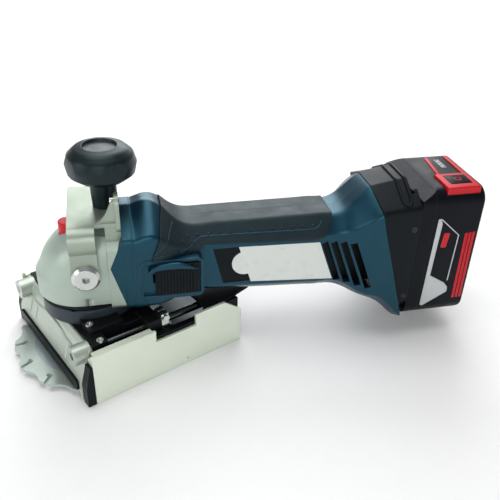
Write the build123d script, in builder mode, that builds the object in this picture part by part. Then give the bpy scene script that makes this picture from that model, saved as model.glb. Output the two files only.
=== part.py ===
"""Cordless biscuit joiner with a swivelling head, as separate pieces, in millimetres.

Frame: the origin is where the blade's axis meets the underside of the shoe. +Z is up and -X
is the cutting direction, so the fence and the blade are at the front, and the side plates
run back along +X. The shoe and the carriage are drawn in this frame. The head is drawn with
its handle along +X, and save() turns it by REST_SWING about the blade's axis.
"""
import os
from math import cos, pi, radians, sin

from build123d import *

os.makedirs("parts", exist_ok=True)

# ---- driving dimensions ------------------------------------------------------------------
REST_SWING = -25.0  # head angle about Z at rest, degrees
GAP = 0.3  # clearance between pieces that move past each other
FIT = 0.05  # radial clearance of a shaft in its bore

# shoe
SOLE_T = 2.0
FENCE_X = -38.0  # front face of the casting
FENCE_BACK = -26.6
FENCE_HALF = 57.5
FENCE_TOP = 43.4
SIDE_IN = 63.3  # inner face of the side plates, from the centre plane
SIDE_T = 2.0
SIDE_FRONT = -31.0
SIDE_REAR = 98.0
SIDE_H = 43.0
ROD_R = 3.0
ROD_Y = 50.0
ROD_Z = 38.0
ROD_FRONT = -39.5
ROD_REAR = 92.0
RAIL_Y = 58.0  # inner face of the side rails
BRIDGE_X = 66.0  # front edge of the rear bridge
BRIDGE_Z = 41.2  # its underside, just above the rods

# blade and spindle
BLADE_R = 62.5
BLADE_Z = 4.0
BLADE_T = 2.0
TEETH = 14
SLOT_SIZE = (11.0, 2.6)  # slot between two teeth
GULLET_R = 14.0
GULLET_DEPTH = 3.2
FLANGE_R = 20.0
FLANGE_TOP = 12.0
SPINDLE_R = 6.0
SPINDLE_NECK_R = 4.0
SPINDLE_TOP = 98.0

# carriage
BLOCK_FRONT = -26.3
BLOCK_REAR = 30.0
BLOCK_HALF = 46.0
BLOCK_TOP = 44.0
BLOCK_BORE = 23.8
NECK_R = 35.0
NECK_TOP = 55.7
SPIGOT_R = 22.0

# head
AXIS_Z = 80.0  # height of the motor's axis
COLLAR_Z = 56.0
HEAD_Z = 66.0  # underside of the gear case
HEAD_TOP = 111.0
CASE_REAR = 27.0  # joint between gear case and motor flange
RING_REAR = 34.0  # joint between motor flange and handle shells
WALL = 2.6  # handle shell thickness
RIM = Plane(origin=(230, 0, 78), z_dir=(cos(radians(15)), 0, sin(radians(15))))
KNOB_X = 17.6
SEAT_Z = 124.0  # top of the bracket's seat

# gears
MODULE = 1.0
PINION_TEETH = 10
CROWN_TEETH = 31
CROWN_TOP = 75.0

# battery
FOOT_REAR = 249.6
PACK_FRONT = FOOT_REAR + GAP
PACK_REAR = 302.0
PACK_HALF = 37.5
PACK_LOW = 18.0
PACK_TOP = 132.0
CELL_R = 9.15
CELL_LENGTH = 65.0
CELL_PITCH = 18.8

FRONT = Plane.XZ  # sketches seen from the near side, extruded towards it


def save(piece, name, on_head=False):
    """Label one finished piece and write it, turning a head piece to the rest swing."""
    solid = piece.part.rotate(Axis.Z, REST_SWING) if on_head else piece.part
    solid.label = name
    export_step(solid, f"parts/{name}.step")


def block(x0, x1, y0, y1, z0, z1, mode=Mode.ADD):
    """A box between two corners, in the part being built."""
    with Locations(((x0 + x1) / 2, (y0 + y1) / 2, (z0 + z1) / 2)):
        Box(x1 - x0, y1 - y0, z1 - z0, mode=mode)


def disc(x, y, z0, z1, radius, mode=Mode.ADD):
    """An upright cylinder."""
    with Locations((x, y, z0)):
        Cylinder(radius, z1 - z0, align=(Align.CENTER, Align.CENTER, Align.MIN), mode=mode)


def along_x(x0, x1, y, z, radius, mode=Mode.ADD):
    """A cylinder along X."""
    with Locations(Plane(origin=(x0, y, z), z_dir=(1, 0, 0))):
        Cylinder(radius, x1 - x0, align=(Align.CENTER, Align.CENTER, Align.MIN), mode=mode)


def along_y(x, y0, y1, z, radius, mode=Mode.ADD):
    """A cylinder along Y."""
    with Locations(Plane(origin=(x, y0, z), z_dir=(0, 1, 0))):
        Cylinder(radius, y1 - y0, align=(Align.CENTER, Align.CENTER, Align.MIN), mode=mode)


# ---- shoe --------------------------------------------------------------------------------
FOOT_SCREWS = [(-35.2, side * 54.6) for side in (-1, 1)]
RAIL_SCREWS = [(x, side * 60.6) for x in (72.0, 90.0) for side in (-1, 1)]
SOLE_SCREW_R = 1.5
SOLE_SCREW_HEAD_R = 2.4

with BuildPart() as sole_plate:
    with BuildSketch():
        with Locations(((SIDE_REAR - 2 - 36) / 2, 0)):
            Rectangle(SIDE_REAR - 2 + 36, 2 * SIDE_IN)
    extrude(amount=SOLE_T)
    for side in (-1, 1):
        low, high = sorted((side * RAIL_Y, side * SIDE_IN))
        block(-36, SIDE_FRONT + SIDE_T, low, high, 0, SOLE_T, mode=Mode.SUBTRACT)
    with Locations(*[(x, y, 0) for x, y in FOOT_SCREWS + RAIL_SCREWS]):
        Cylinder(SOLE_SCREW_R, 3 * SOLE_T, mode=Mode.SUBTRACT)
        Cone(SOLE_SCREW_HEAD_R, SOLE_SCREW_R, SOLE_SCREW_HEAD_R - SOLE_SCREW_R,
             align=(Align.CENTER, Align.CENTER, Align.MIN), mode=Mode.SUBTRACT)
save(sole_plate, "sole_plate")

with BuildPart() as shoe_screws:
    with Locations(*[(x, y, 0) for x, y in FOOT_SCREWS + RAIL_SCREWS]):
        Cylinder(SOLE_SCREW_R, 8, align=(Align.CENTER, Align.CENTER, Align.MIN))
        Cone(SOLE_SCREW_HEAD_R, SOLE_SCREW_R, SOLE_SCREW_HEAD_R - SOLE_SCREW_R,
             align=(Align.CENTER, Align.CENTER, Align.MIN))
        Cylinder(0.8, 1.2, mode=Mode.SUBTRACT)
save(shoe_screws, "shoe_screws")

# The casting: a vertical lip, a long slope and a flat top, slotted underneath for the blade.
with BuildPart() as front_fence:
    with BuildSketch(FRONT):
        with BuildLine():
            Polyline((FENCE_X, SOLE_T), (FENCE_X, 18), (-30.5, 40), (-28, FENCE_TOP),
                     (FENCE_BACK, FENCE_TOP), (FENCE_BACK, SOLE_T), close=True)
        make_face()
    extrude(amount=FENCE_HALF, both=True)
    for side in (-1, 1):
        along_x(ROD_FRONT, FENCE_BACK, side * ROD_Y, ROD_Z, 7.5)
        block(-33, FENCE_BACK, side * 50 - 4, side * 50 + 4, 20, ROD_Z)
        along_x(ROD_FRONT, FENCE_BACK, side * ROD_Y, ROD_Z, ROD_R, mode=Mode.SUBTRACT)
    disc(0, 0, SOLE_T - 1, BLADE_Z + BLADE_T + 1.3, BLADE_R + 1.5, mode=Mode.SUBTRACT)
    with Locations(*[(x, y, SOLE_T) for x, y in FOOT_SCREWS]):
        Cylinder(SOLE_SCREW_R, 12, mode=Mode.SUBTRACT)
save(front_fence, "front_fence")

with BuildPart() as fence_strip:
    with BuildSketch(Plane.YZ.offset(FENCE_X - 2)):
        with Locations((0, 12.8)):
            RectangleRounded(106, 9, 1.5)
    extrude(amount=2)
save(fence_strip, "fence_strip")

GUARD_Y = 58.0  # where the end guards start
with BuildPart() as corner_guards:
    for start in (GUARD_Y, -SIDE_IN - SIDE_T):
        with BuildSketch(FRONT.offset(-start)):
            with BuildLine():
                Polyline((-37.5, 0), (-37.5, 16), (-33.5, 34), (-31.2, 34), (-31.2, 0),
                         close=True)
            make_face()
        extrude(amount=GUARD_Y - SIDE_IN - SIDE_T)
save(corner_guards, "corner_guards")

NOTCH = (20.0, 55.0, 33.0)  # start, end and floor of the window in the plate's top edge
for name, side in (("side_plate_near", -1), ("side_plate_far", 1)):
    with BuildPart() as side_plate:
        with BuildSketch(FRONT.offset(SIDE_IN)):
            with BuildLine():
                Polyline((SIDE_FRONT, 0), (SIDE_REAR, 0), (SIDE_REAR, 30.5), (82, SIDE_H),
                         (NOTCH[1], SIDE_H), (NOTCH[1], NOTCH[2]), (NOTCH[0], NOTCH[2]),
                         (NOTCH[0], SIDE_H), (SIDE_FRONT, SIDE_H), close=True)
            make_face()
            fillet(vertices().filter_by(lambda v: abs(v.Z - NOTCH[2]) < 0.1), 4)
            with Locations((46.8, 4.5)):
                Circle(0.8, mode=Mode.SUBTRACT)
        extrude(amount=SIDE_T)
        block(SIDE_FRONT, SIDE_FRONT + SIDE_T, -SIDE_IN, -RAIL_Y, 0, 38)
        block(SIDE_FRONT + SIDE_T, 18, -SIDE_IN, -RAIL_Y - 1.5, SIDE_H - 1.5, SIDE_H)
        if side > 0:
            mirror(about=Plane.XZ, mode=Mode.REPLACE)
    save(side_plate, name)

with BuildPart() as side_rails:
    for side in (-1, 1):
        low, high = sorted((side * RAIL_Y, side * SIDE_IN))
        block(-26, BRIDGE_X, low, high, 9, 36)
        block(BRIDGE_X, SIDE_REAR - 2, low, high, SOLE_T, BRIDGE_Z)
        with Locations(*[(x, y, SOLE_T) for x, y in RAIL_SCREWS]):
            Cylinder(SOLE_SCREW_R, 12, mode=Mode.SUBTRACT)
save(side_rails, "side_rails")

with BuildPart() as guide_rods:
    for side in (-1, 1):
        along_x(ROD_FRONT, ROD_REAR, side * ROD_Y, ROD_Z, ROD_R)
    chamfer(edges().group_by(Axis.X)[0] + edges().group_by(Axis.X)[-1], 0.6)
save(guide_rods, "guide_rods")

# The bridge ties the two rails behind the carriage. Its rear edge is notched, with two tails.
with BuildPart() as rear_bridge:
    with BuildSketch(Plane.XY.offset(BRIDGE_Z)):
        with BuildLine():
            Polyline((BRIDGE_X, -SIDE_IN), (82, -SIDE_IN), (111, -57), (85, -33), (85, 33),
                     (111, 57), (82, SIDE_IN), (BRIDGE_X, SIDE_IN), close=True)
        make_face()
    extrude(amount=SIDE_H - BRIDGE_Z)
    block(83, 93, -RAIL_Y, RAIL_Y, 31, BRIDGE_Z)
    for side in (-1, 1):
        along_x(83, ROD_REAR, side * ROD_Y, ROD_Z, ROD_R, mode=Mode.SUBTRACT)
save(rear_bridge, "rear_bridge")

# ---- carriage ----------------------------------------------------------------------------
EYE_R = ROD_R + FIT
NECK_SCREW_PCD_R = 31.0
CLAMP_X = (30.0, 36.0)
CLAMP_R = 7.3
INDEX_SCREW = (-18.8, -38.0)
PAD_TOP = 49.0

with BuildPart() as carriage_block:
    with BuildSketch(Plane.XY.offset(FLANGE_TOP)):
        with BuildLine():
            Polyline((BLOCK_FRONT, -38), (-16, -BLOCK_HALF), (BLOCK_REAR, -BLOCK_HALF),
                     (BLOCK_REAR, BLOCK_HALF), (-16, BLOCK_HALF), (BLOCK_FRONT, 38),
                     close=True)
        make_face()
    extrude(amount=BLOCK_TOP - FLANGE_TOP)
    for side in (-1, 1):
        for x0, x1 in ((BLOCK_FRONT, -14), (18, BLOCK_REAR)):
            low, high = sorted((side * 38, side * 57))
            block(x0, x1, low, high, 31, 45.5)
        low, high = sorted((side * 24, side * BLOCK_HALF))
        block(-22, 4, low, high, BLOCK_TOP, PAD_TOP)
    disc(0, 0, FLANGE_TOP - 1, BLOCK_TOP + 1, BLOCK_BORE, mode=Mode.SUBTRACT)
    disc(0, 0, BLOCK_TOP, PAD_TOP + 1, NECK_R, mode=Mode.SUBTRACT)
    for side in (-1, 1):
        along_x(BLOCK_FRONT - 1, BLOCK_REAR + 1, side * ROD_Y, ROD_Z, EYE_R, mode=Mode.SUBTRACT)
        disc(-19, side * 54.5, 36, 47, 1.5, mode=Mode.SUBTRACT)
    with PolarLocations(NECK_SCREW_PCD_R, 4, start_angle=45):
        Cylinder(2, 200, mode=Mode.SUBTRACT)
    disc(*INDEX_SCREW, 40, PAD_TOP + 1, 2, mode=Mode.SUBTRACT)
save(carriage_block, "carriage_block")

with BuildPart() as swivel_neck:
    disc(0, 0, BLOCK_TOP, NECK_TOP, NECK_R)
    disc(0, 0, BLOCK_TOP, NECK_TOP, SPIGOT_R + FIT, mode=Mode.SUBTRACT)
    chamfer(edges().group_by(Axis.Z)[-1].sort_by(SortBy.LENGTH)[-1], 0.8)
    with Locations(Location((0, 0, NECK_TOP))):
        with PolarLocations(NECK_SCREW_PCD_R, 4, start_angle=45):
            CounterBoreHole(2, 3.6, 4.2, depth=40)
save(swivel_neck, "swivel_neck")

with BuildPart() as rod_clamps:
    for side in (-1, 1):
        along_x(*CLAMP_X, side * ROD_Y, ROD_Z, CLAMP_R)
        low, high = sorted((side * 46.5, side * 56.5))
        block(*CLAMP_X, low, high, ROD_Z, 48)
        along_x(CLAMP_X[0] - 1, CLAMP_X[1] + 1, side * ROD_Y, ROD_Z, EYE_R, mode=Mode.SUBTRACT)
        block(CLAMP_X[0] - 1, CLAMP_X[1] + 1, side * 51 - 0.6, side * 51 + 0.6, 42, 50,
              mode=Mode.SUBTRACT)
        along_y(33, -60, 60, 45, 1.5, mode=Mode.SUBTRACT)
save(rod_clamps, "rod_clamps")

with BuildPart() as carriage_screws:
    for k in range(4):
        x, y = (NECK_SCREW_PCD_R * turn(radians(45 + 90 * k)) for turn in (cos, sin))
        disc(x, y, 24, NECK_TOP - 4.2, 2)
        disc(x, y, NECK_TOP - 4.2, NECK_TOP - 0.6, 3.6)
        disc(x, y, NECK_TOP - 2.6, NECK_TOP, 1.7, mode=Mode.SUBTRACT)
    for side in (-1, 1):
        low, high = sorted((side * 46.5, side * 56.5))
        along_y(33, low, high, 45, 1.5)
        low, high = sorted((side * 56.5, side * 59.0))
        along_y(33, low, high, 45, 2.7)
        disc(-19, side * 54.5, 41.2, 45.5, 1.5)
        disc(-19, side * 54.5, 45.5, 46.9, 2.6)
        disc(-19, side * 54.5, 45.9, 47.5, 1.2, mode=Mode.SUBTRACT)
    disc(*INDEX_SCREW, 41, PAD_TOP, 2)
    disc(*INDEX_SCREW, PAD_TOP, PAD_TOP + 1.6, 3.0)
    disc(*INDEX_SCREW, PAD_TOP + 0.4, PAD_TOP + 2, 1.5, mode=Mode.SUBTRACT)
save(carriage_screws, "carriage_screws")

# ---- head: swivel and gear case ----------------------------------------------------------
LOWER_SEAT = (46.0, 57.0, 16.0)  # bottom, top and radius of the lower bearing
UPPER_SEAT = (90.0, 98.0, 6.5)
RETAINER_Z = (41.2, 43.7)

with BuildPart() as bearing_flange:
    with BuildSketch(FRONT):
        with BuildLine():
            Polyline((11, RETAINER_Z[0]), (19.5, RETAINER_Z[0]), (19.5, 44), (SPIGOT_R, 44),
                     (SPIGOT_R, HEAD_Z), (8, HEAD_Z), (8, LOWER_SEAT[1]),
                     (LOWER_SEAT[2], LOWER_SEAT[1]), (LOWER_SEAT[2], LOWER_SEAT[0]),
                     (11, LOWER_SEAT[0]), close=True)
        make_face()
    revolve(axis=Axis.Z)
save(bearing_flange, "bearing_flange", on_head=True)

with BuildPart() as swivel_collar:
    disc(0, 0, COLLAR_Z, HEAD_Z, 34)
    chamfer(edges().group_by(Axis.Z)[0], 0.8)
    disc(0, 0, COLLAR_Z, HEAD_Z, SPIGOT_R, mode=Mode.SUBTRACT)
save(swivel_collar, "swivel_collar", on_head=True)

with BuildPart() as retaining_ring:
    disc(0, 0, *RETAINER_Z, BLOCK_BORE - 0.4)
    disc(0, 0, *RETAINER_Z, 19.5, mode=Mode.SUBTRACT)
    for angle in (0, 180):
        with Locations(Location((0, 0, 42.5), (0, 0, angle))):
            with Locations((21.5, 0)):
                Cylinder(0.8, 10, mode=Mode.SUBTRACT)
save(retaining_ring, "retaining_ring", on_head=True)


def bearing(low, high, bore, outer):
    """A ball bearing: one ring with a round groove in each face."""
    disc(0, 0, low, high, outer)
    disc(0, 0, low, high, bore, mode=Mode.SUBTRACT)
    land = 0.25 * (outer - bore)
    for z in (low, high):
        with Locations((0, 0, z)):
            Torus((bore + outer) / 2, land, mode=Mode.SUBTRACT)


with BuildPart() as spindle_bearings:
    bearing(LOWER_SEAT[0], LOWER_SEAT[1], SPINDLE_R + FIT, LOWER_SEAT[2])
    bearing(UPPER_SEAT[0], UPPER_SEAT[1], SPINDLE_NECK_R + FIT, UPPER_SEAT[2])
save(spindle_bearings, "spindle_bearings", on_head=True)


def nose(radius, centre, z):
    """The gear case seen from above: square at the back and round at the front."""
    with BuildSketch(Plane.XY.offset(z)) as outline:
        with BuildLine():
            Polyline((centre, -radius), (CASE_REAR, -radius), (CASE_REAR, radius),
                     (centre, radius))
            ThreePointArc((centre, radius), (centre - radius, 0), (centre, -radius))
        make_face()
    return outline.sketch


SCALLOP_R = NECK_R + 0.4
WEDGE = [(CASE_REAR, 113), (17.5, 90), (CASE_REAR, 57)]
BOLT_X = 0.3
BOLT_Z = 86.6
BUTTON_X = -11.0
BUTTON_R = 6.0
BEARING_FRONT = (20.0, 27.0, 11.0)
SKIRT_Z = 60.0  # lower edge of the case, round the collar
CASE_WALL_TOP = 76.0
CASE_WALL = (34, -3)  # radius and centre of the upright wall's nose
CASE_DOME = [(33.5, 1.5, 86), (32, 7, 97), (28.5, 13, 105), (24, 18, HEAD_TOP)]
CASE_SCREWS = [(side * 24.5, z) for side in (-1, 1) for z in (72.0, 103.0)]
CASE_SCREW_X = (18.0, 31.0)  # tip of the screws and seat of their heads

with BuildPart() as gear_case:
    extrude(nose(*CASE_WALL, SKIRT_Z), amount=CASE_WALL_TOP - SKIRT_Z)
    loft([nose(*CASE_WALL, CASE_WALL_TOP)] + [nose(*outline) for outline in CASE_DOME])
    with BuildSketch(Plane.YZ.offset(16)):
        with BuildLine():
            Polyline((-24, 112), (24, 112), (34.5, 105), (34.5, 58), (31, 54), (-31, 54),
                     (-34.5, 58), (-34.5, 105), close=True)
        make_face()
    extrude(amount=CASE_REAR - 16)
    along_y(BOLT_X, -34, 34, BOLT_Z, 11)
    disc(0, 0, 30, COLLAR_Z + GAP, SCALLOP_R, mode=Mode.SUBTRACT)
    disc(0, 0, 50, HEAD_Z, 34, mode=Mode.SUBTRACT)
    disc(0, 0, HEAD_Z, 82, 21.5, mode=Mode.SUBTRACT)
    disc(0, 0, 82, UPPER_SEAT[0], 7.5, mode=Mode.SUBTRACT)
    disc(0, 0, *UPPER_SEAT, mode=Mode.SUBTRACT)
    along_x(7, BEARING_FRONT[0], 0, AXIS_Z, 8, mode=Mode.SUBTRACT)
    along_x(*BEARING_FRONT[:2], 0, AXIS_Z, BEARING_FRONT[2], mode=Mode.SUBTRACT)
    disc(BUTTON_X, 0, 70, 101, 2.2, mode=Mode.SUBTRACT)
    disc(BUTTON_X, 0, 101, 120, BUTTON_R + 0.4, mode=Mode.SUBTRACT)
    along_y(BOLT_X, -40, 40, BOLT_Z, 4, mode=Mode.SUBTRACT)
    for side in (-1, 1):
        low, high = sorted((side * 28, side * 36))
        with BuildSketch(FRONT.offset(-low)):
            with BuildLine():
                Polyline(*WEDGE, close=True)
            make_face()
        extrude(amount=low - high, mode=Mode.SUBTRACT)
    for y, z in CASE_SCREWS:
        along_x(CASE_SCREW_X[0], CASE_REAR, y, z, 2, mode=Mode.SUBTRACT)
save(gear_case, "gear_case", on_head=True)

with BuildPart() as gear_case_screws:
    for y, z in CASE_SCREWS:
        along_x(*CASE_SCREW_X, y, z, 2)
        along_x(CASE_SCREW_X[1], RING_REAR - 0.3, y, z, 3.5)
        along_x(RING_REAR - 1.5, RING_REAR, y, z, 1.5, mode=Mode.SUBTRACT)
save(gear_case_screws, "gear_case_screws", on_head=True)

# ---- head: knob bracket ------------------------------------------------------------------
STRAP_HALF = 9.2
STRAP_OUT = 37.0
STRAP_T = 3.0
ROLL_R = 11.0  # outside of the rolled bend between strap and seat
ROLL_Y = 29.5
ROLL_Z = SEAT_Z - ROLL_R
ROLL_LOW = 105.2
GUSSET_Y = 25.4
GUSSET_T = 2.6
GUSSET_FRONT = 16.0
GUSSET_LOW = 106.0
GUSSET_CURVE = [(9.2, SEAT_Z), (13.5, 125.5), (18.0, 131.0), (22.0, 139.0), (25.0, 141.5)]
EAR_SCREWS = [(side * 22.0, z) for side in (-1, 1) for z in (SEAT_Z + 4, SEAT_Z + 13.5)]

with BuildPart() as knob_bracket:
    for side in (-1, 1):
        along_x(-STRAP_HALF, STRAP_HALF, side * ROLL_Y, ROLL_Z, ROLL_R)
        along_x(-STRAP_HALF, STRAP_HALF, side * ROLL_Y, ROLL_Z, ROLL_R - STRAP_T,
                mode=Mode.SUBTRACT)
    block(-STRAP_HALF, STRAP_HALF, -ROLL_Y, ROLL_Y, ROLL_Z - ROLL_R, SEAT_Z,
          mode=Mode.SUBTRACT)
    block(-STRAP_HALF, STRAP_HALF, -60, 60, ROLL_Z - ROLL_R, ROLL_LOW, mode=Mode.SUBTRACT)
    for side in (-1, 1):
        low, high = sorted((side * (STRAP_OUT - STRAP_T), side * STRAP_OUT))
        block(-STRAP_HALF, STRAP_HALF, low, high, BOLT_Z, ROLL_LOW + 1.2)
        with BuildSketch(FRONT.offset(-low)):
            with Locations((BOLT_X, BOLT_Z)):
                Circle(STRAP_HALF + BOLT_X)
        extrude(amount=low - high)
    block(-STRAP_HALF, CASE_REAR, -ROLL_Y, ROLL_Y, SEAT_Z - STRAP_T, SEAT_Z)
    for side in (-1, 1):
        low, high = sorted((side * GUSSET_Y, side * (GUSSET_Y + GUSSET_T)))
        with BuildSketch(FRONT.offset(-low)):
            with BuildLine():
                Spline(*GUSSET_CURVE)
                Polyline(GUSSET_CURVE[-1], (CASE_REAR, GUSSET_CURVE[-1][1]),
                         (CASE_REAR, GUSSET_LOW), (GUSSET_FRONT, GUSSET_LOW),
                         (GUSSET_FRONT, SEAT_Z - STRAP_T),
                         (GUSSET_CURVE[0][0], SEAT_Z - STRAP_T), GUSSET_CURVE[0])
            make_face()
        extrude(amount=low - high)
    with BuildSketch(Plane.YZ.offset(CASE_REAR - STRAP_T)):
        for side in (-1, 1):
            with Locations((side * 22, 128.5)):
                RectangleRounded(16, 29, 7)
    extrude(amount=STRAP_T)
    add(gear_case.part, mode=Mode.SUBTRACT)
    along_y(BOLT_X, -40, 40, BOLT_Z, 4, mode=Mode.SUBTRACT)
    disc(KNOB_X, 0, 100, 130, 4 + FIT, mode=Mode.SUBTRACT)
    for y, z in EAR_SCREWS:
        along_x(20, 30, y, z, 1.8, mode=Mode.SUBTRACT)
save(knob_bracket, "knob_bracket", on_head=True)

with BuildPart() as bracket_bolts:
    for side in (-1, 1):
        low, high = sorted((side * 23, side * STRAP_OUT))
        along_y(BOLT_X, low, high, BOLT_Z, 4)
        low, high = sorted((side * STRAP_OUT, side * (STRAP_OUT + 4)))
        along_y(BOLT_X, low, high, BOLT_Z, 10)
        low, high = sorted((side * (STRAP_OUT + 1), side * (STRAP_OUT + 5)))
        with BuildSketch(Plane(origin=(BOLT_X, low, BOLT_Z), z_dir=(0, 1, 0))):
            RegularPolygon(2.9, 6)
        extrude(amount=high - low, mode=Mode.SUBTRACT)
    chamfer(edges().filter_by(GeomType.CIRCLE).group_by(Axis.Y)[0]
            + edges().filter_by(GeomType.CIRCLE).group_by(Axis.Y)[-1], 2)
save(bracket_bolts, "bracket_bolts", on_head=True)

with BuildPart() as ear_screws:
    for y, z in EAR_SCREWS:
        along_x(CASE_REAR - STRAP_T, CASE_REAR, y, z, 1.8)
        along_x(CASE_REAR - STRAP_T - 3, CASE_REAR - STRAP_T, y, z, 3.4)
        along_x(CASE_REAR - STRAP_T - 3, CASE_REAR - STRAP_T - 1, y, z, 1.3,
                mode=Mode.SUBTRACT)
save(ear_screws, "ear_screws", on_head=True)

# ---- knob: turns on its own stud ---------------------------------------------------------
with BuildPart() as knob:
    with BuildSketch(FRONT):
        with BuildLine():
            Polyline((KNOB_X, SEAT_Z + GAP), (KNOB_X + 8.7, SEAT_Z + GAP),
                     (KNOB_X + 9.6, 144), (KNOB_X + 17, 145.5), (KNOB_X + 23.5, 150.5),
                     (KNOB_X + 25, 157.5), (KNOB_X + 23, 164), (KNOB_X + 18, 168.5),
                     (KNOB_X + 12, 170), (KNOB_X + 11, 168), (KNOB_X, 168), close=True)
        make_face()
        fillet(vertices().filter_by(lambda v: 145 < v.Z < 168 and v.X > KNOB_X + 15), 3)
    revolve(axis=Axis((KNOB_X, 0, 0), (0, 0, 1)))
    for angle in (-66.4, 23.6, 113.6, 203.6):
        with Locations(Location((KNOB_X, 0, 157), (0, 0, angle))):
            with Locations((23 + 5, 0, 0)):
                Box(10, 40, 40, mode=Mode.SUBTRACT)
    disc(KNOB_X, 0, SEAT_Z, 150, 4, mode=Mode.SUBTRACT)
save(knob, "knob", on_head=True)

with BuildPart() as knob_stud:
    disc(KNOB_X, 0, HEAD_TOP + 2, 150, 4)
    chamfer(edges().group_by(Axis.Z)[0], 0.8)
save(knob_stud, "knob_stud", on_head=True)

# ---- head: spindle lock ------------------------------------------------------------------
with BuildPart() as lock_button:
    disc(BUTTON_X, 0, 104, 113.5, BUTTON_R)
    fillet(edges().group_by(Axis.Z)[-1], 1)
    disc(BUTTON_X, 0, CROWN_TOP - 1, 104, 2)
save(lock_button, "lock_button", on_head=True)

with BuildPart() as lock_spring:
    with BuildLine():
        Helix(pitch=1.0, height=2.0, radius=3.1, center=(BUTTON_X, 0, 101.45))
    with BuildSketch(Plane(origin=(BUTTON_X + 3.1, 0, 101.45), z_dir=(0, 1, 0))):
        Circle(0.35)
    sweep()
save(lock_spring, "lock_spring", on_head=True)

# ---- head: motor flange and handle shells ------------------------------------------------
def between(first, second, share):
    """The station part of the way from one station to another."""
    return tuple(a + (b - a) * share for a, b in zip(first, second))


# Each station: x, top, ridge half-width, shoulder, half-width, foot, keel half-width, bottom.
WAIST_FRONT = (78, 109.0, 15, 98, 27.0, 61.5, 16, 52.7)
WAIST_REAR = (190, 109.5, 15, 98, 27.0, 56, 16, 45.5)
WAIST_STEPS = 9
STATIONS = [
    (34, 126.0, 6, 111, 35.0, 55, 22, 47.0),
    (44, 128.5, 6, 113, 35.0, 55, 22, 46.5),
    (55, 125.0, 8, 110, 34.0, 56, 21, 47.0),
    (66, 114.0, 12, 101, 30.0, 59, 18, 50.0),
    *[between(WAIST_FRONT, WAIST_REAR, k / WAIST_STEPS) for k in range(WAIST_STEPS + 1)],
    (203, 117.0, 15, 103, 31.0, 50, 19, 41.0),
    (217, 129.5, 13, 114, 36.5, 44, 24, 35.0),
    (231, 132.5, 13, 119, 38.5, 38, 26, 27.5),
    (250, 135.0, 13, 121, 39.5, 33, 27, 21.0),
]
SECTION_ROUND = 5.0


def section(station, grow=0.0):
    """Eight-sided section of the handle across its axis, grown or shrunk all round."""
    x, top, ridge, shoulder, half, foot, keel, bottom = station
    right = [(ridge, top + grow), (half + grow, shoulder + 0.4 * grow),
             (half + grow, foot - 0.4 * grow), (keel + 0.4 * grow, bottom - grow)]
    left = [(-y, z) for y, z in reversed(right)]
    with BuildSketch(Plane.YZ.offset(x)) as outline:
        with BuildLine():
            Polyline(*right, *left, close=True)
        make_face()
        fillet(outline.vertices(), SECTION_ROUND)
    return outline.sketch


with BuildPart() as motor_flange:
    extrude(section((CASE_REAR, *STATIONS[0][1:])), amount=RING_REAR - CASE_REAR)
    for side in (-1, 1):
        low, high = sorted((side * 28, side * 34.5))
        with BuildSketch(FRONT.offset(-low)):
            with BuildLine():
                Polyline(*WEDGE, close=True)
            make_face()
        extrude(amount=low - high)
    disc(0, 0, 30, COLLAR_Z + GAP, SCALLOP_R, mode=Mode.SUBTRACT)
    disc(0, 0, 50, HEAD_Z, 34, mode=Mode.SUBTRACT)
    along_x(CASE_REAR, RING_REAR, 0, AXIS_Z, 13, mode=Mode.SUBTRACT)
    for y, z in CASE_SCREWS:
        along_x(CASE_REAR, RING_REAR, y, z, 2, mode=Mode.SUBTRACT)
        along_x(CASE_SCREW_X[1], RING_REAR, y, z, 3.6, mode=Mode.SUBTRACT)
save(motor_flange, "motor_flange", on_head=True)

CAN_R = 22.0
CAN = (42.0, 86.0)
RIBS = [(43.0, 46.0), (78.0, 81.0)]

LABEL = [(111.6, 94.3), (174.7, 92.2), (187.5, 57.6), (121.4, 62.6)]
LABEL_TONGUE = (116.5, 79.8, 10.0)  # x, z and radius of its round front end
LABEL_Y = 27.0
LABEL_T = 0.6
INSERT = [(92, 94.5), (126, 94.5), (130, 63.5), (100, 63.5)]
INSERT_T = 0.8
BOSS_R = 4.2
HOUSING_SCREWS = [(50.0, 112.0), (60.0, 53.0), (112.0, 102.0), (112.0, 59.0), (196.0, 104.0),
                  (172.0, 54.0)]
SCREW_HEAD_Y = 18.0
PAD = (38.0, 84.0, 61.0, 94.0)  # raised pad round the switch: x and z limits
PAD_Y = 36.0
POCKET = (39.5, 81.5, 64.5, 91.5)
POCKET_Y = 33.7
SLOT = (47.0, 64.0, 74.0, 82.0)
LINK = (55.0, 115.0, 75.5, 80.5)  # switch link: x and z limits
LINK_Y = (22.5, 24.0)
VENTS = 4
VENT_PITCH = 7.7
VENT_FIRST = (185.2, 73.5)  # x and z of the first slot's centre
VENT_SIZE = (5.0, 38.0)

with BuildPart() as shell_outside:
    loft([section(station) for station in STATIONS])

with BuildPart() as cavity:
    loft([section(station, -WALL) for station in STATIONS])
    for x0, x1 in RIBS:
        block(x0, x1, -60, 60, 0, 200, mode=Mode.SUBTRACT)
        along_x(x0, x1, 0, AXIS_Z, CAN_R)

with BuildPart() as bosses:
    for x, z in HOUSING_SCREWS:
        along_y(x, -26, 26, z, BOSS_R)
    add(shell_outside.part, mode=Mode.INTERSECT)

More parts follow.
